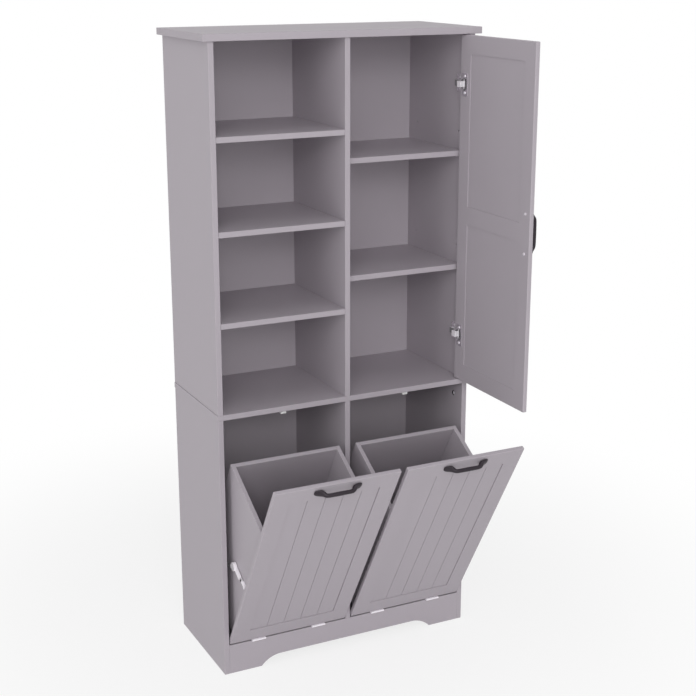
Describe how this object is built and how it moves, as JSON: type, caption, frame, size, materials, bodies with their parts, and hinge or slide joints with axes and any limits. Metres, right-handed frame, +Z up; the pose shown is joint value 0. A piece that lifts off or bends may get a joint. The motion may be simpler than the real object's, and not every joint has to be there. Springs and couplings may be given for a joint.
{
  "type": "tilt-out hamper cabinet",
  "caption": "Tall painted storage cabinet with open shelves, a hinged cupboard door and tilt-out laundry hampers over an arched apron.",
  "frame": {"origin": "foot of the rear face, in the middle of the width", "axes": "+Z up, +Y towards the wall, so the front faces -Y, +X to the right seen from the front"},
  "size_m": [0.798, 0.678, 1.75],
  "materials": {
    "painted_board": "satin mauve-grey paint",
    "pull_black": "satin black",
    "hinge_metal": "bright nickel",
    "screw_steel": "zinc plated",
    "catch_white": "white",
    "dowel_wood": "bare beech"
  },
  "bodies": {
    "carcass": {"top_panel": "painted_board", "upper_left_side": "painted_board", "upper_right_side": "painted_board", "upper_divider": "painted_board", "left_shelf_low": "painted_board", "left_shelf_middle": "painted_board", "left_shelf_high": "painted_board", "right_shelf_low": "painted_board", "right_shelf_high": "painted_board", "shelf_pins": "screw_steel", "upper_back_panel": "painted_board", "mid_panel": "painted_board", "lower_left_side": "painted_board", "lower_right_side": "painted_board", "lower_divider": "painted_board", "lower_back_panel": "painted_board", "bottom_panel": "painted_board", "front_apron": "painted_board", "rear_plinth_rail": "painted_board", "dowels": "dowel_wood", "cam_locks": "screw_steel", "cam_bolts": "screw_steel", "back_panel_screws": "screw_steel", "hinge_mounting_plates": "hinge_metal", "hinge_plate_screws": "screw_steel", "door_hinge_arms": "hinge_metal", "hamper_catches": "catch_white", "apron_hinge_leaves": "hinge_metal", "hamper_hinge_pins": "hinge_metal", "stay_guides": "hinge_metal"},
    "door": {"door_panel": "painted_board", "door_hinge_cups": "hinge_metal", "hinge_cup_screws": "screw_steel", "door_hinge_pins": "hinge_metal", "door_pull": "pull_black", "door_pull_screws": "screw_steel"},
    "left_hamper": {"left_front": "painted_board", "left_bin_left_side": "painted_board", "left_bin_right_side": "painted_board", "left_bin_back": "painted_board", "left_bin_bottom": "painted_board", "left_pull": "pull_black", "left_pull_screws": "screw_steel", "left_front_hinge_leaves": "hinge_metal", "left_strike_plate": "hinge_metal", "left_stay_pivot": "hinge_metal"},
    "left_stay": {"left_stay_arm": "hinge_metal"},
    "right_hamper": {"right_front": "painted_board", "right_bin_left_side": "painted_board", "right_bin_right_side": "painted_board", "right_bin_back": "painted_board", "right_bin_bottom": "painted_board", "right_pull": "pull_black", "right_pull_screws": "screw_steel", "right_front_hinge_leaves": "hinge_metal", "right_strike_plate": "hinge_metal", "right_stay_pivot": "hinge_metal"},
    "right_stay": {"right_stay_arm": "hinge_metal"}
  },
  "joints": [
    {"name": "door_swing", "type": "hinge", "parent": "carcass", "child": "door", "pos_m": [0.3555, -0.329, 1.247], "axis": [0, 0, 1], "range_deg": [-90, 15]},
    {"name": "left_hamper_tilt", "type": "hinge", "parent": "carcass", "child": "left_hamper", "pos_m": [-0.18775, -0.3393, 0.088], "axis": [1, 0, 0], "range_deg": [-30.2, 0]},
    {"name": "left_stay_pivot_turn", "type": "hinge", "parent": "left_hamper", "child": "left_stay", "pos_m": [-0.353, -0.42096, 0.29849], "axis": [1, 0, 0], "range_deg": [0, 22.3]},
    {"name": "right_hamper_tilt", "type": "hinge", "parent": "carcass", "child": "right_hamper", "pos_m": [0.18775, -0.3393, 0.088], "axis": [1, 0, 0], "range_deg": [-30.2, 0]},
    {"name": "right_stay_pivot_turn", "type": "hinge", "parent": "right_hamper", "child": "right_stay", "pos_m": [0.353, -0.42096, 0.29849], "axis": [1, 0, 0], "range_deg": [0, 22.3]}
  ],
  "couplings": [
    {"joint": "left_stay_pivot_turn", "follows": "left_hamper_tilt", "ratio": -0.7351},
    {"joint": "right_stay_pivot_turn", "follows": "right_hamper_tilt", "ratio": -0.7351}
  ]
}
